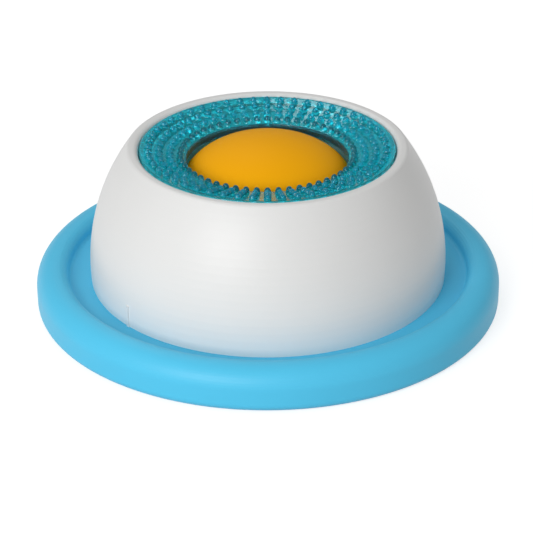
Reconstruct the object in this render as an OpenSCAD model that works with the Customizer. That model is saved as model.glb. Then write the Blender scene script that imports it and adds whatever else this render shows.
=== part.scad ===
// Lick bowl for pets.
// A flattened float sits in a cup of food and shows through the hole of a studded ring.
// The ring twist-locks onto the cup, the cup drops into a domed shell,
// and the shell twist-locks onto a drip tray that stands on suction pads.
// Millimetres, +Z up, origin at the centre of the face that the tray stands on, front towards -Y.

/* [Float] */
// Height of the float
float_h = 52.8; // [46:0.2:60]
// How far the float stands above the ring's rim
float_rise = 3.5; // [1:0.1:6]
// Wall of the hollow float
float_wall = 2.2; // [1.4:0.1:3]
// Height of the lip inside the float's weld seam
lap_h = 3; // [2:0.5:4]
// Wall of the lip inside the float's weld seam
lap_wall = 1.5; // [1:0.1:2]

/* [Lick ring] */
// Diameter of the hole that the float shows through
hole_d = 75.4; // [64:0.2:90]
// Gap between the float and the lower edge of the hole's collar
lick_gap = 2.2; // [1:0.1:3]
// Drop of the studded face from the rim to the hole
funnel_drop = 5.1; // [3:0.1:7]
// Depth of the collar below the hole's edge
collar_h = 4; // [2.6:0.1:5]
// Wall of the collar
collar_wall = 2; // [1.4:0.1:2.4]
// Thickness of the studded plate
plate_t = 2.2; // [1.6:0.1:2.6]
// Height of the rim's outer wall
rim_h = 4.6; // [4:0.1:6]
// Thickness of the rim's outer wall
rim_wall = 2.2; // [1.4:0.1:2.4]
// Rounding of the rim and of the hole's edge
edge_round = 0.7; // [0.3:0.1:1]
// How far the rim sits below the shell's lip
ring_inset = 0.7; // [0.2:0.1:1.4]
// Length of the skirt below the rim
skirt_h = 10.6; // [8:0.2:14]
// Wall of the skirt
skirt_wall = 2.2; // [1.6:0.1:3]

/* [Studs] */
// Studs in each row
stud_columns = 52; // [36:1:56]
// Rows of studs
stud_rows = 4; // [2:1:4]
// Diameter of a stud's ball
stud_d = 3.5; // [2.4:0.1:3.6]
// Depth of a stud's ball in the plate
stud_sink = 0.8; // [0.6:0.1:1.4]
// Distance from the hole's edge to the inner row
stud_edge = 2.7; // [2.6:0.1:3.4]
// Distance from the rim to the outer row
stud_margin = 4.1; // [3:0.1:5]

/* [Ring lock] */
// Lugs on the ring's skirt
lug_count = 3; // [2:1:4]
// Arc of one lug in degrees
lug_angle = 18; // [12:1:24]
// Turn that unlocks the ring in degrees
ring_turn = 30; // [24:1:36]
// How far a lug stands out of the skirt
lug_out = 2; // [1.4:0.1:2.4]
// Height of a lug
lug_h = 3; // [2:0.2:4]
// Height of a lug above the skirt's lower edge
lug_lift = 0.8; // [0.6:0.1:1.6]

/* [Food cup] */
// Gap for food between the float and the cup's wall
food_gap = 8.4; // [6:0.1:12]
// Gap for food under the float
under_gap = 3; // [2:0.2:6]
// Wall and floor of the cup
cup_wall = 2.2; // [1.6:0.1:3]
// Inner rounding between the cup's wall and floor
cup_round = 22; // [12:1:26]
// Step from the cup's wall out to the mouth that takes the ring's skirt
mouth_step = 2; // [1.4:0.1:3]
// Wall of the cup's neck
neck_wall = 4; // [3.6:0.1:5]
// Width of the flange that hangs the cup in the shell
flange_w = 3.4; // [3:0.1:5]
// Thickness of the flange
flange_t = 2.2; // [1.6:0.1:3]
// Middle radius of the ring that carries the float
seat_r = 12; // [9:0.5:16]
// Wall of the ring that carries the float
seat_wall = 3; // [2:0.2:4]
// Gaps in that ring, which let food run under the float
seat_gaps = 3; // [2:1:4]
// Width of one such gap
seat_gap_w = 7; // [4:0.5:9]
// Keys that stop the cup from turning in the shell
key_count = 3; // [2:1:4]
// Arc of one key in degrees
key_angle = 6; // [4:0.5:9]
// How far a key stands out of the neck
key_out = 1.4; // [1:0.1:1.8]

/* [Seals] */
// Thickness of the two flat seals
seal_t = 1.2; // [0.8:0.1:1.8]

/* [Shell] */
// Wall of the shell
shell_wall = 2.8; // [2:0.1:3.6]
// Width of the lip round the ring
lip_w = 5.4; // [4.8:0.1:8]
// Rounding of the lip's outer edge
lip_round = 2; // [1:0.1:2.6]
// Rounding of the lip's inner edge
lip_in_round = 2.4; // [1:0.1:2.6]
// Wall round the recess that the ring sits in
recess_wall = 2.4; // [1.6:0.1:2.8]
// How much wider the shell is at its foot than at its lip
flare = 19.2; // [12:0.2:26]
// Height of the shell's widest point above its foot
belly_h = 7; // [3:0.5:12]
// Length of the neck below the step that carries the cup
neck_h = 11.2; // [8:0.2:16]
// Wall of the neck behind its key grooves
neck_back = 2.4; // [1.8:0.1:3]
// Ribs between the neck and the wall
gusset_count = 8; // [4:1:12]
// Thickness of a rib
gusset_t = 1.8; // [1.2:0.1:2.4]
// Height of the mark at the shell's foot that shows where it locks
tick_h = 10.5; // [6:0.5:14]
// Width of that mark
tick_w = 1.5; // [1:0.1:2.5]
// How far that mark stands out
tick_out = 0.6; // [0.4:0.1:1]
// Direction of that mark in degrees from +X
tick_angle = 221; // [200:1:250]

/* [Base plate and screws] */
// Height of the base plate above the tray's floor
plate_lift = 4; // [3.6:0.1:6]
// Thickness of the base plate
base_t = 2.5; // [2:0.1:3.5]
// Depth of the ring ribs under the base plate
base_rib_h = 1.5; // [1:0.1:2]
// Screws that hold the base plate
screw_count = 4; // [3:1:6]
// Distance of the screws from the shell's inner wall
screw_inset = 9.2; // [8:0.2:12]
// Diameter of a screw's shank
screw_d = 2.6; // [2:0.1:3]
// Length of a screw's shank
screw_len = 11; // [8:0.5:14]
// Diameter of a screw's head
head_d = 5.6; // [4.6:0.1:6]
// Height of a screw's head
head_h = 2; // [1.4:0.1:2.4]
// Width of the cross recess in the head
recess_w = 0.9; // [0.6:0.1:1.2]
// Depth of the cross recess
recess_h = 1; // [0.6:0.1:1.2]
// Diameter of a screw boss
boss_d = 8; // [6:0.2:10]
// Height of a screw boss
boss_h = 16; // [15:0.5:22]
// Thickness of the rib behind a boss
boss_rib = 2; // [1.4:0.1:3]

/* [Tray lock] */
// Hooks on the tray
hook_count = 3; // [2:1:4]
// Arc of one hook in degrees
hook_angle = 16; // [10:1:20]
// Turn that unlocks the shell in degrees
bowl_turn = 25; // [20:1:30]
// Middle radius of the hooks
hook_r = 44; // [36:0.5:48]
// Wall of a hook
hook_wall = 2.5; // [2:0.1:3.5]
// How far a hook's head reaches out over the base plate
hook_reach = 3; // [2:0.1:4]
// Height of a hook's head
hook_head = 2.2; // [1.6:0.1:3]
// Free height between the hooks and the cup
cup_clear = 0.8; // [0.5:0.1:2]

/* [Drip tray] */
// Height of the tray's floor
floor_h = 13; // [12:0.1:16]
// Wall and floor of the tray
tray_wall = 3; // [2:0.1:3.6]
// Height of the rolled rim above the floor
rim_rise = 7; // [5:0.1:9]
// Width of the open gutter round the shell
gutter_w = 11; // [8:0.2:16]
// Width of the rolled rim
bead_w = 15; // [13.5:0.1:18]
// Outer rounding of the rolled rim
bead_round = 9.3; // [7:0.1:10]
// Rounding between the gutter and the rim
gutter_round = 2; // [1:0.1:2.4]
// Rounding of the tray's lower edge
foot_round = 3.6; // [2:0.1:4]
// Width of the flat face that the tray stands on
foot_w = 2; // [1.4:0.1:2.6]
// Height of the foot inside the rim
foot_h = 4; // [3:0.1:5]
// Ribs under the tray's floor, one between each two pads
rib_t = 2; // [1.4:0.1:3]
// Depth of those ribs
rib_h = 6; // [3:0.2:8]
// Radius of the ring rib at the middle
hub_r = 14; // [8:0.5:20]

/* [Suction pads] */
// Suction pads under the tray
pad_count = 4; // [3:1:5]
// Diameter of a pad
pad_d = 40; // [30:1:44]
// Distance of a pad's middle from the tray's middle
pad_r = 62; // [52:0.5:64]
// Thickness of a pad's lip
pad_lip = 1.2; // [0.8:0.1:2]
// Depth of a pad's hollow
pad_hollow = 4.4; // [3:0.1:5]
// Diameter of the boss on top of a pad
pad_boss_d = 13; // [12:0.2:16]
// Diameter of the stem through the tray
stem_d = 8; // [6:0.2:9]
// Diameter of the mushroom head on the stem
mush_d = 11; // [9.6:0.2:12]
// Height of the mushroom head
mush_h = 3; // [2:0.1:3.4]

/* [Clearances] */
// Play between round faces that slide or turn on each other
fit_gap = 0.4; // [0.3:0.05:0.8]
// Play between the ring's rim and the shell
rim_gap = 0.6; // [0.4:0.05:1]
// Play above and below faces that turn on each other
turn_gap = 0.3; // [0.2:0.05:0.5]
// Play at each end of a lock's slot in degrees
lock_gap = 1.5; // [1:0.1:3]
// Play between the float's two halves
lap_gap = 0.1; // [0.05:0.05:0.2]
// Play round a screw's shank and a pad's stem
shank_gap = 0.05; // [0.02:0.01:0.1]

/* [Hidden] */
$fn = 96;
CURVE_STEPS = 36;
SIDE_STEPS = 18;
DISH_STEPS = 720;
STUD_STEPS = 24;
ROUND_STEPS = 6;
OVER = 1;

// Heights, from the table up
plate_z = floor_h + plate_lift;
plate_top = plate_z + base_t;
hook_under = plate_top + turn_gap;
hook_top = hook_under + hook_head;
cup_under = hook_top + cup_clear;
cup_floor = cup_under + cup_wall;
float_low = cup_floor + under_gap;
float_c = float_h / 2;
float_z = float_low + float_c;
float_top = float_low + float_h;
ring_top = float_top - float_rise;
hole_z = ring_top - funnel_drop;
collar_z = hole_z - collar_h;
rim_low = ring_top - rim_h;
flange_top = rim_low - turn_gap;
land_z = flange_top + seal_t;
flange_low = flange_top - flange_t;
step_z = flange_low - seal_t;
skirt_low = rim_low - skirt_h;
mouth_low = skirt_low - fit_gap;
lug_z = skirt_low + lug_lift;
lip_z = ring_top + ring_inset;
neck_low = step_z - neck_h;
tray_h = floor_h + rim_rise;

// Radii, from the hole outwards
hole_r = hole_d / 2;
gap_depth = float_top - collar_z;
float_r = (hole_r - lick_gap) / sqrt(1 - pow((float_c - gap_depth) / float_c, 2));
cup_r = float_r + food_gap;
mouth_r = cup_r + mouth_step;
skirt_r = mouth_r - fit_gap;
lug_r = skirt_r + lug_out;
groove_r = lug_r + fit_gap;
neck_r = mouth_r + neck_wall;
key_r = neck_r + key_out;
ring_r = neck_r + flange_w;
flange_r = ring_r - fit_gap / 2;
bore_r = neck_r + fit_gap;
key_groove_r = key_r + fit_gap;
recess_r = ring_r + rim_gap;
neck_out = key_groove_r + neck_back;
recess_out = recess_r + recess_wall;
lip_r = ring_r + lip_w;
foot_r = lip_r + flare;
gutter_r = foot_r + gutter_w;
tray_r = gutter_r + bead_w;
cup_out = cup_r + cup_wall;

// Ball that the dished face is a part of, through the hole's edge and the rim, and the rows on it
face_in = hole_r + edge_round;
face_out = ring_r - edge_round;
dish_z = (ring_top + hole_z) / 2 + (pow(face_out, 2) - pow(face_in, 2)) / (2 * funnel_drop);
dish_r = sqrt(pow(face_in, 2) + pow(dish_z - hole_z, 2));
stud_in = hole_r + stud_edge;
stud_out = ring_r - stud_margin;

// Arc of the shell's side, through the foot and the lip
belly_z = floor_h + belly_h;
lip_rise = lip_z - belly_z;
belly_r = (pow(foot_r, 2) + pow(belly_h, 2) - pow(lip_r, 2) - pow(lip_rise, 2)) / (2 * flare);
side_r = sqrt(pow(foot_r - belly_r, 2) + pow(belly_h, 2));
inner_side_r = side_r - shell_wall;
mid_side_r = side_r - shell_wall / 2;
crest_z = lip_z - lip_round;
crest_r = side_at(side_r - lip_round, crest_z);
screw_r = side_at(inner_side_r, plate_z) - screw_inset;

// Radius of the shell's side at one height
function side_at(radius, z) = belly_r + sqrt(pow(radius, 2) - pow(z - belly_z, 2));
// Direction on the side's arc of one height
function side_angle(radius, z) = asin((z - belly_z) / radius);
// Height of the ring's dished face at one radius
function face_z(r) = dish_z - sqrt(pow(dish_r, 2) - pow(r, 2));
// Radius of one row of studs
function row_r(row) = stud_in + row * (stud_out - stud_in) / (stud_rows - 1);
// Height of the float's underside at one radius
function float_under(r) = float_z - float_c * sqrt(1 - pow(r / float_r, 2));
// Points of a round arc
function arc(centre, radius, from, to, steps = ROUND_STEPS) =
    [for (i = [0:steps]) let (a = from + (to - from) * i / steps) centre + radius * [cos(a), sin(a)]];
// Points of a quarter ellipse round the float's middle, drawn in by the wall
function float_arc(wall, from, to) =
    [for (i = [0:CURVE_STEPS]) let (a = from + (to - from) * i / CURVE_STEPS)
        [(float_r - wall) * cos(a), float_z + (float_c - wall) * sin(a)]];

// Part of a ring between two radii, heights and directions
module sector(r, z, a) {
    rotate([0, 0, a[0]])
        rotate_extrude(angle = a[1] - a[0])
            translate([r[0], z[0]])
                square([r[1] - r[0], z[1] - z[0]]);
}

// Full ring between two radii and heights
module ring(r, z) {
    rotate_extrude()
        translate([r[0], z[0]])
            square([r[1] - r[0], z[1] - z[0]]);
}

// Copies spread evenly round the axis
module around(count, start = 0) {
    for (i = [0:count - 1])
        rotate([0, 0, start + i * 360 / count])
            children();
}

// Upright plate that runs outwards from the axis
module radial_plate(thickness, z, reach) {
    translate([0, -thickness / 2, z[0]])
        cube([reach, thickness, z[1] - z[0]]);
}

// Tray with a rolled rim, a gutter, lock hooks and ribs underneath
module drip_tray() {
    color([0.42, 0.8, 0.94])
        difference() {
            union() {
                rotate_extrude()
                    polygon(tray_outline());
                tray_ribs();
                around(hook_count)
                    tray_hook();
            }
            around(pad_count, 180 / pad_count)
                translate([pad_r, 0, floor_h - tray_wall - OVER])
                    cylinder(h = tray_wall + 2 * OVER, d = stem_d + 2 * shank_gap);
        }
}

function tray_outline() = let (
    roll = min(bead_w - bead_round, rim_rise - gutter_round),
    under = floor_h - tray_wall,
    hollow_in = gutter_r + tray_wall,
    hollow_out = tray_r - tray_wall,
    hollow_top = tray_h - tray_wall,
    shoulder = bead_round - tray_wall,
    foot_in = tray_r - foot_round - foot_w
) concat(
    [[0, under], [0, floor_h]],
    arc([gutter_r - gutter_round, floor_h + gutter_round], gutter_round, -90, 0),
    arc([gutter_r + roll, tray_h - roll], roll, 180, 90),
    arc([tray_r - bead_round, tray_h - bead_round], bead_round, 90, 0, 2 * ROUND_STEPS),
    arc([tray_r - foot_round, foot_round], foot_round, 0, -90),
    [[foot_in, 0], [foot_in, foot_h], [hollow_out, foot_h + hollow_out - foot_in]],
    arc([hollow_out - shoulder, hollow_top - shoulder], shoulder, 0, 90),
    [[hollow_in, hollow_top], [hollow_in, under]]
);

module tray_ribs() {
    under = floor_h - tray_wall;
    rib_z = [under - rib_h, under + OVER];
    ring([hub_r - rib_t, hub_r], rib_z);
    around(pad_count)
        difference() {
            radial_plate(rib_t, rib_z, gutter_r + OVER);
            cylinder(r = hub_r - rib_t / 2, h = floor_h);
        }
}

module tray_hook() {
    inner = hook_r - hook_wall / 2;
    outer = hook_r + hook_wall / 2;
    sector([inner, outer], [floor_h - OVER, hook_top], [0, hook_angle]);
    sector([inner, outer + hook_reach], [hook_under, hook_top], [0, hook_angle]);
}

// Four pads with mushroom heads that button through the tray's floor
module suction_pads() {
    color([0.78, 0.84, 0.86])
        around(pad_count, 180 / pad_count)
            translate([pad_r, 0, 0])
                rotate_extrude()
                    polygon(pad_outline());
}

function pad_outline() = let (
    under = floor_h - tray_wall,
    edge = pad_d / 2,
    boss = pad_boss_d / 2,
    bowl_half = edge - pad_lip,
    bowl_r = (pow(bowl_half, 2) + pow(pad_hollow, 2)) / (2 * pad_hollow),
    bowl_angle = acos(bowl_half / bowl_r)
) concat(
    arc([0, pad_hollow - bowl_r], bowl_r, 90, bowl_angle, 2 * ROUND_STEPS),
    [[edge, 0], [edge, pad_lip], [boss, pad_hollow + pad_lip], [boss, under]],
    [[stem_d / 2, under], [stem_d / 2, floor_h], [mush_d / 2, floor_h]],
    [[mush_d / 2, floor_h + mush_h / 3], [stem_d / 3, floor_h + mush_h], [0, floor_h + mush_h]]
);

// Domed shell with a lip, a keyed neck, ribs and screw bosses
module outer_shell() {
    color([0.92, 0.93, 0.93])
        difference() {
            union() {
                rotate_extrude()
                    polygon(shell_outline());
                gussets();
                around(screw_count)
                    screw_boss();
                tick_mark();
            }
            around(key_count)
                key_groove();
            around(screw_count)
                translate([screw_r, 0, plate_top - OVER])
                    cylinder(h = screw_len + OVER, d = screw_d + 2 * shank_gap);
        }
}

function shell_outline() = let (
    centre = [belly_r, belly_z],
    crest_angle = atan2(crest_z - belly_z, crest_r - belly_r),
    meet_z = belly_z + sqrt(pow(inner_side_r, 2) - pow(recess_out - belly_r, 2)),
    corner = recess_out - neck_out
) concat(
    arc(centre, side_r, side_angle(side_r, floor_h), crest_angle, SIDE_STEPS),
    arc([crest_r, crest_z], lip_round, crest_angle, 90),
    arc([recess_r + lip_in_round, lip_z - lip_in_round], lip_in_round, 90, 180),
    [[recess_r, step_z], [bore_r, step_z], [bore_r, neck_low], [neck_out, neck_low]],
    [[neck_out, step_z - corner - shell_wall], [recess_out, step_z - shell_wall]],
    arc(centre, inner_side_r, side_angle(inner_side_r, meet_z), side_angle(inner_side_r, floor_h), SIDE_STEPS)
);

// Groove in the neck that takes a key of the cup
module key_groove() {
    z = [neck_low - OVER, step_z + OVER];
    sector([bore_r - OVER, key_groove_r], z, [-lock_gap, key_angle + lock_gap]);
}

// Space inside the middle of the shell's wall, between two heights
module shell_core(z) {
    low = side_angle(mid_side_r, z[0]);
    high = side_angle(mid_side_r, z[1]);
    rotate_extrude()
        polygon(concat(
            [[0, z[0]]],
            arc([belly_r, belly_z], mid_side_r, low, high, SIDE_STEPS),
            [[0, z[1]]]
        ));
}

module gussets() {
    gusset_z = [neck_low, lip_z - shell_wall];
    difference() {
        intersection() {
            shell_core(gusset_z);
            around(gusset_count, 180 / gusset_count)
                radial_plate(gusset_t, gusset_z, foot_r);
        }
        cylinder(r = recess_out - shell_wall / 2, h = lip_z);
        cylinder(r = neck_out - neck_back / 2, h = lip_z);
    }
}

module screw_boss() {
    boss_z = [plate_top, plate_top + boss_h];
    translate([screw_r, 0, plate_top])
        cylinder(h = boss_h, d = boss_d);
    difference() {
        intersection() {
            shell_core(boss_z);
            radial_plate(boss_rib, boss_z, foot_r);
        }
        cylinder(r = screw_r, h = lip_z);
    }
}

// Raised mark at the foot that follows the shell's side
module tick_mark() {
    centre = [belly_r, belly_z];
    low = side_angle(side_r, floor_h);
    high = side_angle(side_r, floor_h + tick_h);
    rotate([0, 0, tick_angle])
        intersection() {
            rotate_extrude()
                polygon(concat(
                    arc(centre, side_r + tick_out, low, high),
                    arc(centre, mid_side_r, high, low)
                ));
            radial_plate(tick_w, [floor_h, floor_h + 2 * tick_h], 2 * foot_r);
        }
}

// Disc that closes the shell from below, with slots for the tray's hooks
module base_plate() {
    plate_r = side_at(inner_side_r, plate_z) - fit_gap;
    slot_z = [plate_z - base_rib_h - OVER, plate_top + OVER];
    slot_start = -bowl_turn - lock_gap;
    inner = hook_r - hook_wall / 2 - fit_gap;
    outer = hook_r + hook_wall / 2 + fit_gap;
    rib_rs = [inner - 2 * base_t, outer + hook_reach + base_t];
    color([0.86, 0.87, 0.87])
        difference() {
            union() {
                ring([0, plate_r], [plate_z, plate_top]);
                for (r = rib_rs)
                    ring([r, r + base_t], [plate_z - base_rib_h, plate_z + OVER]);
            }
            around(hook_count) {
                sector([inner, outer], slot_z, [slot_start, hook_angle + lock_gap]);
                sector([inner, outer + hook_reach], slot_z, [slot_start, hook_angle - bowl_turn + lock_gap]);
            }
            around(screw_count)
                translate([screw_r, 0, plate_z - OVER])
                    cylinder(h = base_t + 2 * OVER, d = screw_d + 2 * fit_gap);
        }
}

// Pan-head screws driven up through the base plate
module base_screws() {
    color([0.72, 0.72, 0.74])
        around(screw_count)
            translate([screw_r, 0, 0])
                difference() {
                    union() {
                        translate([0, 0, plate_z - head_h])
                            cylinder(h = head_h, d = head_d);
                        translate([0, 0, plate_z - head_h / 2])
                            cylinder(h = screw_len - base_t, d = screw_d);
                    }
                    for (a = [0, 90])
                        rotate([0, 0, a])
                            translate([-head_d / 3, -recess_w / 2, plate_z - head_h - OVER])
                                cube([2 * head_d / 3, recess_w, recess_h + OVER]);
                }
}

// Drop-in cup with a flange, a keyed neck, lock slots and a seat for the float
module food_cup() {
    color([0.9, 0.93, 0.94])
        difference() {
            union() {
                rotate_extrude()
                    polygon(cup_outline());
                around(key_count)
                    sector([neck_r - OVER, key_r], [mouth_low, step_z - turn_gap], [0, key_angle]);
                float_seat();
            }
            around(lug_count)
                lock_slot();
        }
}

function cup_outline() = let (
    centre = [cup_r - cup_round, cup_floor + cup_round],
    taper = neck_r - cup_out,
    neck_foot = mouth_low - cup_wall
) concat(
    [[0, cup_under]],
    arc(centre, cup_round + cup_wall, -90, 0, 2 * ROUND_STEPS),
    [[cup_out, neck_foot - taper], [neck_r, neck_foot], [neck_r, flange_low], [flange_r, flange_low]],
    [[flange_r, flange_top], [mouth_r, flange_top], [mouth_r, mouth_low], [cup_r, mouth_low]],
    arc(centre, cup_round, 0, -90, 2 * ROUND_STEPS),
    [[0, cup_floor]]
);

module float_seat() {
    inner = seat_r - seat_wall / 2;
    difference() {
        ring([inner, seat_r + seat_wall / 2], [cup_floor - cup_wall / 2, float_under(inner) - turn_gap]);
        around(seat_gaps)
            radial_plate(seat_gap_w, [cup_floor, float_z], seat_r + seat_wall);
    }
}

// Way in from the mouth, and the run that a lug turns along to its locked place
module lock_slot() {
    r = [mouth_r - OVER, groove_r];
    way_gap = lock_gap / 2;
    sector(r, [lug_z - fit_gap, lug_z + lug_h + fit_gap], [-lock_gap, ring_turn + lug_angle + lock_gap]);
    sector(r, [lug_z, flange_top + OVER], [ring_turn - way_gap, ring_turn + lug_angle + way_gap]);
}

// Flat seal under the cup's flange
module neck_seal() {
    color([0.8, 0.85, 0.86])
        ring([neck_r + fit_gap / 2, flange_r - fit_gap], [step_z, flange_low]);
}

// Flat seal between the cup's flange and the lick ring
module ring_seal() {
    color([0.8, 0.85, 0.86])
        ring([groove_r + fit_gap, ring_r - rim_wall - fit_gap], [flange_top, land_z]);
}

// Studded ring with a collar round its hole, a rim and a skirt with lock lugs
module lick_ring() {
    color([0.2, 0.6, 0.68])
        union() {
            rotate_extrude()
                difference() {
                    polygon(ring_outline());
                    translate([0, dish_z])
                        circle(r = dish_r, $fn = DISH_STEPS);
                }
            stud_field();
            around(lug_count)
                sector([skirt_r - OVER, lug_r], [lug_z, lug_z + lug_h], [0, lug_angle]);
        }
}

function ring_outline() = let (
    collar_out = hole_r + collar_wall,
    skirt_in = skirt_r - skirt_wall,
    rim_in = ring_r - rim_wall
) concat(
    [[hole_r, collar_z]],
    arc([face_in, hole_z - edge_round], edge_round, 180, 90),
    arc([face_out, ring_top - edge_round], edge_round, 90, 0),
    [[ring_r, rim_low], [rim_in, rim_low], [rim_in, land_z], [skirt_r, land_z]],
    [[skirt_r, skirt_low], [skirt_in, skirt_low], [skirt_in, face_z(skirt_in) - plate_t]],
    [[collar_out, face_z(collar_out) - plate_t], [collar_out, collar_z]]
);

// Rows of studs: balls sunk in the dish, so that each one meets it in a true circle
module stud_field() {
    for (row = [0:stud_rows - 1])
        around(stud_columns, -90)
            translate([row_r(row), 0, face_z(row_r(row)) + stud_d / 2 - stud_sink])
                sphere(d = stud_d, $fn = STUD_STEPS);
}

// Upper half of the hollow float
module float_upper() {
    color([0.91, 0.68, 0.17])
        rotate_extrude()
            polygon(concat(float_arc(0, 0, 90), float_arc(float_wall, 90, 0)));
}

// Lower half of the float, with the lip that centres the weld
module float_lower() {
    inner_r = float_r - float_wall;
    lap_r = inner_r * sqrt(1 - pow(lap_h / (float_c - float_wall), 2)) - lap_gap;
    color([0.88, 0.64, 0.15])
        union() {
            rotate_extrude()
                polygon(concat(float_arc(0, -90, 0), float_arc(float_wall, 0, -90)));
            ring([lap_r - lap_wall, inner_r + float_wall / 2], [float_z - lap_h, float_z]);
            ring([lap_r - lap_wall, lap_r], [float_z - lap_h, float_z + lap_h]);
        }
}

drip_tray();
suction_pads();
outer_shell();
base_plate();
base_screws();
food_cup();
neck_seal();
ring_seal();
lick_ring();
float_upper();
float_lower();
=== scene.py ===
# %% [markdown]
# # A lick bowl, dressed
# The bowl is a white dome on a blue drip tray. An amber float shows through the hole of a clear
# teal ring, and the ring is covered with small studs that slow down a pet's tongue. The packed
# model gives each piece its place and its motion, and this lesson gives each piece its finish.
# Everything is in metres.

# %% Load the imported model
import math

import bmesh
import bpy
from mathutils import Matrix, Vector


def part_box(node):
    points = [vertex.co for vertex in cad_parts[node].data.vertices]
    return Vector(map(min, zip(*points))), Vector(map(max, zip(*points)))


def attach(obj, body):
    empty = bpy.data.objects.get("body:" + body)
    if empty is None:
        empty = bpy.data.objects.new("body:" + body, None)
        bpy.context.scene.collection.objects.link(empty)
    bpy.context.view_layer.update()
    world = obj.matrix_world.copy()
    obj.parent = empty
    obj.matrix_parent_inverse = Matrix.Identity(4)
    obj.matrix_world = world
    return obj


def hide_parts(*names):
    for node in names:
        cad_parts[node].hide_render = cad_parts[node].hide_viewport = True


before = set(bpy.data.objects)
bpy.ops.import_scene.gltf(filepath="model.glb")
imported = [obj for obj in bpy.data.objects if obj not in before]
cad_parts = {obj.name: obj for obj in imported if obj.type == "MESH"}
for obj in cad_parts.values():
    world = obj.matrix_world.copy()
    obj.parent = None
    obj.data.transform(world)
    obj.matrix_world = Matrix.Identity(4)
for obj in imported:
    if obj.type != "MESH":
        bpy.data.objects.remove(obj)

MM = 0.001
scene = bpy.context.scene
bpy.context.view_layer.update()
print("packed nodes:", ", ".join(sorted(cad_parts)))

# %% [markdown]
# ## Camera
# The photograph was taken with a long lens from a little above, straight at the front. A long lens
# keeps the two ends of each ellipse almost alike. A camera can be placed by eye, but outlines only
# line up if it is fitted: its distance, height and tilt come from the ellipses of the tray, the
# shell and the ring, and the picture leans by a third of a degree about the view axis.

# %% Camera
IMAGE_PX = 533
FOCAL_PX = 2050
SENSOR_MM = 36
CAMERA_PLACE = (-0.7 * MM, -868 * MM, 468 * MM)
TILT_DOWN = math.radians(27.59)
LEAN = math.radians(-0.31)
camera_data = bpy.data.cameras.new("camera")
camera_data.sensor_width = SENSOR_MM
camera_data.lens = FOCAL_PX / IMAGE_PX * SENSOR_MM
camera = bpy.data.objects.new("camera", camera_data)
scene.collection.objects.link(camera)
turn = Matrix.Rotation(math.pi / 2 - TILT_DOWN, 4, "X") @ Matrix.Rotation(LEAN, 4, "Z")
camera.matrix_world = Matrix.Translation(CAMERA_PLACE) @ turn
scene.camera = camera
print(f"lens {camera_data.lens:.1f} mm")

# %% [markdown]
# ## Finishes
# Moulded plastic is never quite even: its gloss drifts a little, and the mould leaves a very fine
# grain. An image could show that, but noise in the piece's own space needs no unwrapping and suits
# every piece. So one Principled shader takes its colour, roughness and bump from two noises, and
# values that are the same all over sit on the shader's own sockets.

# %% Finish helper
DRIFT_SCALE = 28
DRIFT_DETAIL = 3
GRAIN_DETAIL = 2
GRAIN_DEPTH = 0.2 * MM


def unevenness(nodes, links, scale, detail):
    """Noise in the piece's own space, from 0 to 1."""
    place = nodes.new("ShaderNodeTexCoord")
    noise = nodes.new("ShaderNodeTexNoise")
    noise.inputs["Scale"].default_value = scale
    noise.inputs["Detail"].default_value = detail
    links.new(place.outputs["Object"], noise.inputs["Vector"])
    return noise.outputs["Fac"]


def finish(name, colour, roughness, grain=900, bump=0.03, shade=0.06, gloss_play=0.06, **fixed):
    """Moulded plastic: the colour drifts slowly, and gloss and bump follow a fine grain."""
    material = bpy.data.materials.new(name)
    material.use_nodes = True
    nodes, links = material.node_tree.nodes, material.node_tree.links
    shader = nodes["Principled BSDF"]
    drift = unevenness(nodes, links, DRIFT_SCALE, DRIFT_DETAIL)
    fine = unevenness(nodes, links, grain, GRAIN_DETAIL)
    tint = nodes.new("ShaderNodeMix")
    tint.data_type = "RGBA"
    tint.inputs["A"].default_value = (*[c * (1 - shade) for c in colour], 1)
    tint.inputs["B"].default_value = (*[min(1, c * (1 + shade)) for c in colour], 1)
    links.new(drift, tint.inputs["Factor"])
    links.new(tint.outputs["Result"], shader.inputs["Base Color"])
    gloss = nodes.new("ShaderNodeMapRange")
    gloss.inputs["To Min"].default_value = roughness - gloss_play
    gloss.inputs["To Max"].default_value = roughness + gloss_play
    links.new(fine, gloss.inputs["Value"])
    links.new(gloss.outputs["Result"], shader.inputs["Roughness"])
    relief = nodes.new("ShaderNodeBump")
    relief.inputs["Strength"].default_value = bump
    relief.inputs["Distance"].default_value = GRAIN_DEPTH
    links.new(fine, relief.inputs["Height"])
    links.new(relief.outputs["Normal"], shader.inputs["Normal"])
    for socket, value in fixed.items():
        shader.inputs[socket.replace("_", " ")].default_value = value
    print("finish", name)
    return material


# %% [markdown]
# ## Kept solids
# The tray, the shell, the cup, the float and the small hidden pieces have their final shape in the
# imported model. They could be modelled again, but that would only risk a misfit, so they stay and get
# a finish and smooth shading. Edges sharper than 35 degrees stay crisp. A piece that the photograph
# hides still gets a finish of its own, because it shows when the cup is lifted out.

# %% Finishes of the kept solids
satin_blue = finish("satin_blue", (0.088, 0.6, 0.9), 0.45, shade=0.03, Specular_IOR_Level=0.4)
satin_white = finish("satin_white", (0.81, 0.81, 0.8), 0.42, shade=0.02)
plain_white = finish("plain_white", (0.78, 0.78, 0.77), 0.55, bump=0.06, shade=0.03)
cup_white = finish("cup_white", (0.82, 0.88, 0.93), 0.25, bump=0.01, shade=0.02)
silicone = finish(
    "milky_silicone", (0.8, 0.87, 0.92), 0.5, shade=0.04, Transmission_Weight=0.1,
)
steel = finish("steel", (0.6, 0.6, 0.62), 0.35, grain=2500, bump=0.05, Metallic=1.0)
amber = finish(
    "satin_amber", (0.98, 0.44, 0.003), 0.5, bump=0.01, shade=0.02, Specular_IOR_Level=0.05,
)

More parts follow.
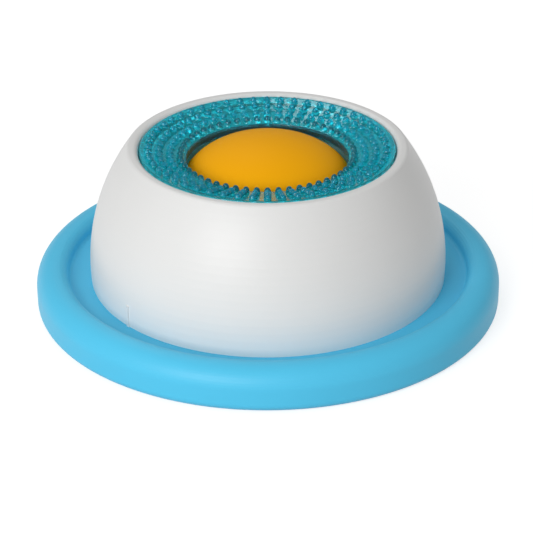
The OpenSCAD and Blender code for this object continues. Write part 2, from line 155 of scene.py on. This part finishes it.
# %% Dress the kept solids
CRISP = math.radians(35)
KEPT = {
    "drip_tray": (satin_blue, "tray"),
    "suction_pads": (silicone, "silicone"),
    "outer_shell": (satin_white, "shell"),
    "base_plate": (plain_white, "plate"),
    "base_screws": (steel, "screw"),
    "food_cup": (cup_white, "cup"),
    "neck_seal": (silicone, "silicone"),
    "ring_seal": (silicone, "silicone"),
    "float_upper": (amber, "float"),
    "float_lower": (amber, "float"),
}


def smooth(data):
    """Smooth shading that keeps sharp corners crisp."""
    data.shade_smooth()
    data.set_sharp_from_angle(angle=CRISP)


def dress(piece, material):
    """Gives a piece its only material."""
    piece.data.materials.clear()
    piece.data.materials.append(material)


for node, (material, slot) in KEPT.items():
    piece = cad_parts[node]
    smooth(piece.data)
    dress(piece, material)
    print(node, len(piece.data.polygons), "triangles")

# %% [markdown]
# ## Lick ring
# The ring is one clear moulding: a dished plate with 52 columns of 4 studs, a collar round the hole,
# a rim, and a skirt with three lock lugs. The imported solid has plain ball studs, and a clear piece
# shows every messy face, so the ring is made again as one clean mesh. Its outline is a list of
# radius and height points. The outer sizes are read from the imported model, so that the mesh stays
# on the solid, and the others are the sizes of the moulding.

# %% Ring measures
RING_BELOW_LIP = 0.7 * MM
EDGE_ROUND = 0.7 * MM
DISH_DROP = 5.1 * MM
PLATE = 2.2 * MM
HOLE_R = 37.7 * MM
COLLAR_H = 4 * MM
COLLAR_WALL = 2 * MM
RIM_H = 4.6 * MM
RIM_WALL = 2.2 * MM
LAND_STEP = 0.9 * MM
SKIRT_R = 51.6 * MM
SKIRT_WALL = 2.2 * MM
packed_low, packed_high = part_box("lick_ring")
ring_r = packed_high.x
skirt_z = packed_low.z
ring_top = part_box("outer_shell")[1].z - RING_BELOW_LIP
hole_z = ring_top - DISH_DROP
print(f"ring radius {ring_r / MM:.1f}, top {ring_top / MM:.1f}, hole edge {hole_z / MM:.1f} mm")

# %% Dished face
face_in = HOLE_R + EDGE_ROUND
face_out = ring_r - EDGE_ROUND
dish_z = (ring_top + hole_z) / 2 + (face_out ** 2 - face_in ** 2) / (2 * DISH_DROP)
dish_r = math.hypot(face_in, dish_z - hole_z)


def face_z(r):
    """Height of the dished face, a part of a large ball."""
    return dish_z - math.sqrt(dish_r ** 2 - r ** 2)


print(f"the face is part of a ball of {dish_r / MM:.0f} mm radius")

# %% [markdown]
# ## Loops of points
# A round piece can be turned with a Screw modifier, but then its edges can't be shared with the
# studs. Here every outline point becomes a loop of vertices round the axis, and a skin of quads
# joins each loop to the next. The same skin also closes a stud and a lug, so one helper makes all.

# %% Loop helpers


def arc(centre, radius, start, end, steps):
    """Points of a round arc in the plane of radius and height, angles in degrees."""
    angles = [math.radians(start + (end - start) * i / steps) for i in range(steps + 1)]
    return [(centre[0] + radius * math.cos(a), centre[1] + radius * math.sin(a)) for a in angles]


def round_axis(mesh, point, angles):
    """One point of radius and height carried round the axis: a loop of vertices."""
    r, z = point
    return [mesh.verts.new((r * math.cos(a), r * math.sin(a), z)) for a in angles]


def skin(mesh, loops):
    """Faces between each two neighbouring loops. A loop of one vertex makes a tip."""
    for a, b in zip(loops, loops[1:]):
        count = max(len(a), len(b))
        for i in range(count):
            j = (i + 1) % count
            corners = [a[i % len(a)], a[j % len(a)], b[j % len(b)], b[i % len(b)]]
            mesh.faces.new(dict.fromkeys(corners))


# %% [markdown]
# ## Studs
# Each stud on the real ring is a gumdrop: a round foot, a full dome and a soft fillet where it
# leaves the plate. A Boolean could join 208 of them on and leave slivers at every foot. Instead the
# plate's top is a polar grid of cells, and each cell's border of 16 points shrinks loop by loop
# into a stud, so the whole face is clean quads that light can pass through.

# %% Stud shape
STUD_R = 1.65 * MM
STUD_H = 2.7 * MM
FULLNESS = 0.9
FILLET = 0.25 * MM
FILLET_WAIST = 0.3
DOME_FROM = 5
DOME_STEPS = 7
# A cell's border starts at its inner corner, on the side of the smaller angle
FIRST_CORNER = math.radians(225)
# Stands for the height of a point that follows the dished face
ON_FACE = None
stud_outline = [(STUD_R + FILLET, ON_FACE), (STUD_R + FILLET_WAIST * FILLET, FILLET_WAIST * FILLET)]
for i in range(DOME_STEPS):
    rise = math.radians(DOME_FROM + (90 - DOME_FROM) * i / DOME_STEPS)
    stud_outline.append((STUD_R * math.cos(rise) ** FULLNESS, STUD_H * math.sin(rise) ** FULLNESS))


def stud(mesh, border, r, angle):
    """Fills one cell of the plate with a stud: border is the cell's vertices, in order."""
    outwards = Vector((math.cos(angle), math.sin(angle), 0))
    along = Vector((-math.sin(angle), math.cos(angle), 0))
    foot = outwards * r + Vector((0, 0, face_z(r)))
    loops = [border]
    for radius, height in stud_outline:
        loop = []
        for k in range(len(border)):
            a = FIRST_CORNER + math.tau * k / len(border)
            p = foot + outwards * radius * math.cos(a) + along * radius * math.sin(a)
            p.z = face_z(p.xy.length) if height is ON_FACE else foot.z + height
            loop.append(mesh.verts.new(p))
        loops.append(loop)
    loops.append([mesh.verts.new(foot + Vector((0, 0, STUD_H)))])
    skin(mesh, loops)


print(f"a stud has {len(stud_outline)} loops")

# %% Rows and columns of studs
COLUMNS = 52
ROWS = 4
SIDE = 4
FIRST_ROW_INSET = 2.7 * MM
LAST_ROW_INSET = 4.1 * MM
CELL_INNER_GAP = 0.1 * MM
CELL_OUTER_REACH = 2.4 * MM
around = COLUMNS * SIDE
step = math.tau / around
first = -math.pi / 2 - SIDE / 2 * step
spokes = [first + j * step for j in range(around)]
first_row = HOLE_R + FIRST_ROW_INSET
last_row = ring_r - LAST_ROW_INSET
row_r = [first_row + (last_row - first_row) * i / (ROWS - 1) for i in range(ROWS)]
row_edge = [face_in + CELL_INNER_GAP]
row_edge += [(a + b) / 2 for a, b in zip(row_r, row_r[1:])]
row_edge += [last_row + CELL_OUTER_REACH]
print("rows at", [round(r / MM, 1) for r in row_r], "mm")

# %% Studded face


def cell_border(i, j):
    """Grid places round one cell, starting at its inner corner."""
    walk = [(i + k, j) for k in range(SIDE)]
    walk += [(i + SIDE, j + k) for k in range(SIDE)]
    walk += [(i + SIDE - k, j + SIDE) for k in range(SIDE)]
    walk += [(i, j + SIDE - k) for k in range(SIDE)]
    return walk


def studded_face(mesh):
    """The plate's top with all its studs. Returns its inner and outer loops."""
    radii = [a + (b - a) * k / SIDE for a, b in zip(row_edge, row_edge[1:]) for k in range(SIDE)]
    radii.append(row_edge[-1])
    grid = {}
    for i, r in enumerate(radii):
        for j, a in enumerate(spokes):
            if i % SIDE == 0 or j % SIDE == 0:
                grid[i, j] = mesh.verts.new((r * math.cos(a), r * math.sin(a), face_z(r)))
    for row in range(ROWS):
        for column in range(COLUMNS):
            i, j = row * SIDE, column * SIDE
            border = [grid[a, b % around] for a, b in cell_border(i, j)]
            stud(mesh, border, row_r[row], first + (j + SIDE / 2) * step)
    return [[grid[i, j] for j in range(around)] for i in (0, len(radii) - 1)]


print(f"{ROWS * COLUMNS} cells with {len(cell_border(0, 0))} points round each")

# %% [markdown]
# ## Lock lugs
# Three lugs on the skirt hook under the cup when the ring is twisted. Each is a rounded block that
# follows the skirt. It could be a scaled cube, but a block that is swept along the arc fits the wall
# all the way, and its root is sunk a little into the skirt, so that no gap shows through the plastic.

# %% Lock lugs
LUGS = 3
LUG_TURN = math.radians(18)
LUG_STEPS = 8
LUG_EDGE = 0.3 * MM
LUG_LIFT = 0.8 * MM
LUG_H = 3 * MM
LUG_SINK = 0.3 * MM
LUG_REACH = 2 * MM


def lock_lug(mesh, start):
    """One lug: a rounded block that runs along the skirt, with its root sunk in it."""
    low = skirt_z + LUG_LIFT
    high = low + LUG_H
    root, tip = SKIRT_R - LUG_SINK, SKIRT_R + LUG_REACH
    outline = [(root, low), (tip - LUG_EDGE, low), (tip, low + LUG_EDGE)]
    outline += [(tip, high - LUG_EDGE), (tip - LUG_EDGE, high), (root, high)]
    loops = []
    for i in range(LUG_STEPS + 1):
        a = start + LUG_TURN * i / LUG_STEPS
        loops.append([mesh.verts.new((r * math.cos(a), r * math.sin(a), z)) for r, z in outline])
    skin(mesh, loops)
    for end in (loops[0], loops[-1]):
        mesh.faces.new(end)


print(f"{LUGS} lugs of {LUG_TURN * SKIRT_R / MM:.1f} mm along the skirt")

# %% [markdown]
# ## Ring body
# Under the face come the rim that shows round the edge, the flat land that rests on the seal, the
# skirt that goes into the cup, and the collar that keeps food from spilling at the hole. They are
# one outline from the face's outer edge, down and under, back to its inner edge. The studded face
# and this turned body share their first and last loops, so the ring is one closed mesh.

# %% Ring body outline
RIM_EDGE = 0.3 * MM
SKIRT_EDGE = 0.4 * MM
COLLAR_ROUND = 0.6 * MM
EDGE_STEPS = 6
COLLAR_STEPS = 4


def ring_body():
    """Outline from the face's outer edge, under the plate, to its inner edge."""
    rim_z = ring_top - RIM_H
    rim_in = ring_r - RIM_WALL
    land_z = rim_z + LAND_STEP
    skirt_in = SKIRT_R - SKIRT_WALL
    collar_z = hole_z - COLLAR_H
    collar_r = HOLE_R + COLLAR_WALL
    turn_z = collar_z + COLLAR_ROUND
    outline = arc((face_out, ring_top - EDGE_ROUND), EDGE_ROUND, 90, 0, EDGE_STEPS)
    outline += [(ring_r, rim_z + RIM_EDGE), (ring_r - RIM_EDGE, rim_z)]
    outline += [(rim_in, rim_z), (rim_in, land_z), (SKIRT_R, land_z)]
    outline += [(SKIRT_R, skirt_z + SKIRT_EDGE), (SKIRT_R - SKIRT_EDGE, skirt_z)]
    outline += [(skirt_in, skirt_z), (skirt_in, face_z(skirt_in) - PLATE)]
    outline += [(collar_r, face_z(collar_r) - PLATE)]
    outline += arc((collar_r - COLLAR_ROUND, turn_z), COLLAR_ROUND, 0, -90, COLLAR_STEPS)
    outline += arc((HOLE_R + COLLAR_ROUND, turn_z), COLLAR_ROUND, -90, -180, COLLAR_STEPS)
    outline += arc((face_in, hole_z - EDGE_ROUND), EDGE_ROUND, 180, 90, EDGE_STEPS)
    return outline


print("the body's outline has", len(ring_body()), "points")

# %% Ring mesh


def lick_ring():
    """The studded face, the turned body and the lugs in one object with outward faces."""
    mesh = bmesh.new()
    inner, outer = studded_face(mesh)
    turned = [round_axis(mesh, point, spokes) for point in ring_body()]
    skin(mesh, [outer] + turned + [inner])
    for i in range(LUGS):
        lock_lug(mesh, math.tau * i / LUGS)
    bmesh.ops.recalc_face_normals(mesh, faces=mesh.faces)
    data = bpy.data.meshes.new("studded_ring")
    mesh.to_mesh(data)
    mesh.free()
    smooth(data)
    piece = bpy.data.objects.new("studded_ring", data)
    scene.collection.objects.link(piece)
    print(f"studded_ring: {len(data.vertices)} vertices, {len(data.polygons)} faces")
    return piece


ring = lick_ring()
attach(ring, "ring")
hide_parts("lick_ring")

# %% [markdown]
# ## Clear teal
# A clear tinted plastic bends and mirrors light at its surface. Glass alone would turn dark over the
# closed cup, and the real ring glows, because its pigment scatters some light inside the thin plate.
# So part of the light passes through and part comes back as teal, and the bump is the soft ripple of
# the mould, which breaks reflections up into sparks.

# %% Ring finish
LIGHT_TEAL = (0.03, 0.86, 1.0)
clear_teal = finish(
    "clear_teal", LIGHT_TEAL, 0.04, grain=450, bump=0.6, shade=0.06, gloss_play=0.02,
    Transmission_Weight=0.73, IOR=1.5,
)
dress(ring, clear_teal)

# %% [markdown]
# ## Deeper tones on the studs, painted shade near the hole
# Tinted plastic looks deeper where it is thicker. A volume shader could do that, but it is slow and
# is lost in an export. So the surface colour follows the shape: the distance from the middle of the
# dish tells how high a point is on its stud, and the studs turn a deeper teal. The distance from the
# axis picks the inner row of studs and the collar's wall, and these get painted shade: a dark teal
# for the shade that falls in the hole round the float.

# %% Tone helpers
teal_nodes, teal_links = clear_teal.node_tree.nodes, clear_teal.node_tree.links
teal_place = teal_nodes.new("ShaderNodeTexCoord").outputs["Object"]


def measure(operation, point, fixed):
    """A vector operation on a surface point, such as its distance from a fixed point."""
    tool = teal_nodes.new("ShaderNodeVectorMath")
    tool.operation = operation
    teal_links.new(point, tool.inputs[0])
    tool.inputs[1].default_value = fixed
    return tool.outputs["Vector" if operation == "MULTIPLY" else "Value"]


def shift(before, after, value, start, end):
    """Goes from one colour to another while a measured value goes from start to end."""
    fade = teal_nodes.new("ShaderNodeMapRange")
    fade.interpolation_type = "SMOOTHSTEP"
    fade.inputs["From Min"].default_value = start
    fade.inputs["From Max"].default_value = end
    teal_links.new(value, fade.inputs["Value"])
    mix = teal_nodes.new("ShaderNodeMix")
    mix.data_type = "RGBA"
    teal_links.new(fade.outputs["Result"], mix.inputs["Factor"])
    for side, tone in (("A", before), ("B", after)):
        if isinstance(tone, tuple):
            mix.inputs[side].default_value = tone
        else:
            teal_links.new(tone, mix.inputs[side])
    return mix.outputs["Result"]


# %% Tones of the ring
STUD_TEAL = (0.016, 0.66, 0.88, 1)
# Painted shade: the inner row of studs is coloured a darker teal than the other rows
INNER_STUD_SHADE_TEAL = (0.014, 0.32, 0.42, 1)
# Painted shade for the collar's wall, darkest right at the hole's edge
COLLAR_SHADE_TEAL = (0.02, 0.12, 0.16, 1)
ROW_BLEND = 0.2 * MM
STUD_PALE, STUD_DEEP = 0.2 * MM, 1.2 * MM
COLLAR_SHADE_START, COLLAR_SHADE_FULL = 0.5 * MM, 0.1 * MM
from_axis = measure("LENGTH", measure("MULTIPLY", teal_place, (1, 1, 0)), (0, 0, 0))
from_dish_middle = measure("DISTANCE", teal_place, (0, 0, dish_z))
base_colour = teal_nodes["Principled BSDF"].inputs["Base Color"]
plate_teal = base_colour.links[0].from_socket
past_inner_row = (row_r[0] + row_r[1]) / 2
# Painted shade: the studs of the inner row turn dark teal
stud_teal_and_inner_shade = shift(
    INNER_STUD_SHADE_TEAL, STUD_TEAL, from_axis, past_inner_row - ROW_BLEND, past_inner_row + ROW_BLEND,
)
teal = shift(plate_teal, stud_teal_and_inner_shade, from_dish_middle, dish_r - STUD_PALE, dish_r - STUD_DEEP)
# Painted shade: the collar's wall round the hole turns nearly black teal
teal = shift(teal, COLLAR_SHADE_TEAL, from_axis, HOLE_R + COLLAR_SHADE_START, HOLE_R + COLLAR_SHADE_FULL)
teal_links.new(teal, base_colour)
print("the ring has", len(teal_nodes), "shader nodes")

# %% [markdown]
# ## Floor
# The photograph is a cut-out on white. A white floor under strong lamps would burn the white shell
# out, so the floor is grey paper that takes a soft shadow. Where the camera, a mirror or a clear
# piece looks at it, a glow lifts it to white, and no extra light falls on the bowl.

# %% Floor
FLOOR_SIZE = 8
FLOOR_GAP = 0.05 * MM
bpy.ops.mesh.primitive_plane_add(size=FLOOR_SIZE, location=(0, 0, -FLOOR_GAP))
floor = bpy.context.object
floor.name = "floor"
print(f"floor {FLOOR_SIZE} m wide")

# %% Paper
FLOOR_GLOW = 0.72
PAPER_GREY = (0.5, 0.5, 0.5, 1)
WHITE = (1, 1, 1, 1)


def seen_directly(nodes, links):
    """1 where the camera looks, straight, in a mirror or through a clear piece, else 0."""
    path = nodes.new("ShaderNodeLightPath")
    seen = path.outputs["Is Camera Ray"]
    for kind in ("Is Glossy Ray", "Is Transmission Ray"):
        either = nodes.new("ShaderNodeMath")
        either.operation = "MAXIMUM"
        links.new(seen, either.inputs[0])
        links.new(path.outputs[kind], either.inputs[1])
        seen = either.outputs["Value"]
    return seen


paper = bpy.data.materials.new("paper")
paper.use_nodes = True
paper_nodes, paper_links = paper.node_tree.nodes, paper.node_tree.links
paper_shader = paper_nodes["Principled BSDF"]
paper_shader.inputs["Base Color"].default_value = PAPER_GREY
paper_shader.inputs["Roughness"].default_value = 1.0
paper_shader.inputs["Specular IOR Level"].default_value = 0.0
paper_shader.inputs["Emission Color"].default_value = WHITE
glow = paper_nodes.new("ShaderNodeMath")
glow.operation = "MULTIPLY"
glow.inputs[1].default_value = FLOOR_GLOW
paper_links.new(seen_directly(paper_nodes, paper_links), glow.inputs[0])
paper_links.new(glow.outputs["Value"], paper_shader.inputs["Emission Strength"])
floor.data.materials.append(paper)
print(f"the paper glows {FLOOR_GLOW} where it is seen")

# %% [markdown]
# ## Sky
# A studio has white walls and a dim ceiling. One sky colour for all rays would either leave the
# background grey or wash the clear ring over with white. So the sky is white for the camera and
# through the ring, it dims from the horizon up in mirrors, and it gives a soft fill to the rest.

# %% Sky helpers
world = bpy.data.worlds.new("studio")
scene.world = world
world.use_nodes = True
sky_nodes, sky_links = world.node_tree.nodes, world.node_tree.links
direction = sky_nodes.new("ShaderNodeTexCoord")
height = sky_nodes.new("ShaderNodeSeparateXYZ")
sky_links.new(direction.outputs["Generated"], height.inputs["Vector"])


def by_height(low, high, at_low, at_high):
    """Brightness that changes smoothly with the height of the direction a ray goes in."""
    ramp = sky_nodes.new("ShaderNodeMapRange")
    ramp.interpolation_type = "SMOOTHSTEP"
    settings = {"From Min": low, "From Max": high, "To Min": at_low, "To Max": at_high}
    for socket, value in settings.items():
        ramp.inputs[socket].default_value = value
    sky_links.new(height.outputs["Z"], ramp.inputs["Value"])
    return ramp.outputs["Result"]


def choose(switch, off, on):
    """One brightness where the switch is 0 and another where it is 1."""
    pick = sky_nodes.new("ShaderNodeMapRange")
    sky_links.new(switch, pick.inputs["Value"])
    sky_links.new(off, pick.inputs["To Min"])
    if isinstance(on, float):
        pick.inputs["To Max"].default_value = on
    else:
        sky_links.new(on, pick.inputs["To Max"])
    return pick.outputs["Result"]


# %% Sky
BACKDROP = 1.0
CEILING = 0.22
CEILING_FROM = 0.12
HORIZON_FILL = 0.56
ZENITH_FILL = 0.47
ZENITH_FROM = 0.8
path = sky_nodes.new("ShaderNodeLightPath")
fill = by_height(0.0, ZENITH_FROM, HORIZON_FILL, ZENITH_FILL)
mirrored = by_height(0.0, CEILING_FROM, BACKDROP, CEILING)
brightness = choose(path.outputs["Is Glossy Ray"], fill, mirrored)
for seen in ("Is Transmission Ray", "Is Camera Ray"):
    brightness = choose(path.outputs[seen], brightness, BACKDROP)
sky = sky_nodes["Background"]
sky.inputs["Color"].default_value = WHITE
sky_links.new(brightness, sky.inputs["Strength"])
print(f"sky fill {HORIZON_FILL} at the horizon, {ZENITH_FILL} above")

# %% [markdown]
# ## Lamps
# One large soft lamp from the front left shapes the dome, as a softbox does. A point lamp would do
# it with hard shadows. A small dim lamp from behind is there for the ring alone: its mirror image
# runs over the studs at the back and makes them sparkle.

# %% Lamps
AIM = Vector((0, 0, 50 * MM))


def lamp(name, direction, distance, size, watts):
    """Square soft lamp that looks at the bowl from one direction."""
    data = bpy.data.lights.new(name, "AREA")
    data.size = size
    data.energy = watts
    light = bpy.data.objects.new(name, data)
    towards = Vector(direction).normalized()
    light.location = AIM + towards * distance
    light.rotation_mode = "QUATERNION"
    light.rotation_quaternion = towards.to_track_quat("Z", "Y")
    scene.collection.objects.link(light)
    print(f"{name} lamp {watts} W")


lamp("key", direction=(-0.45, -0.84, 0.42), distance=1.3, size=0.7, watts=9)
lamp("back", direction=(-0.18, 0.62, 0.77), distance=1.0, size=0.3, watts=0.75)
scene.view_settings.view_transform = "Standard"
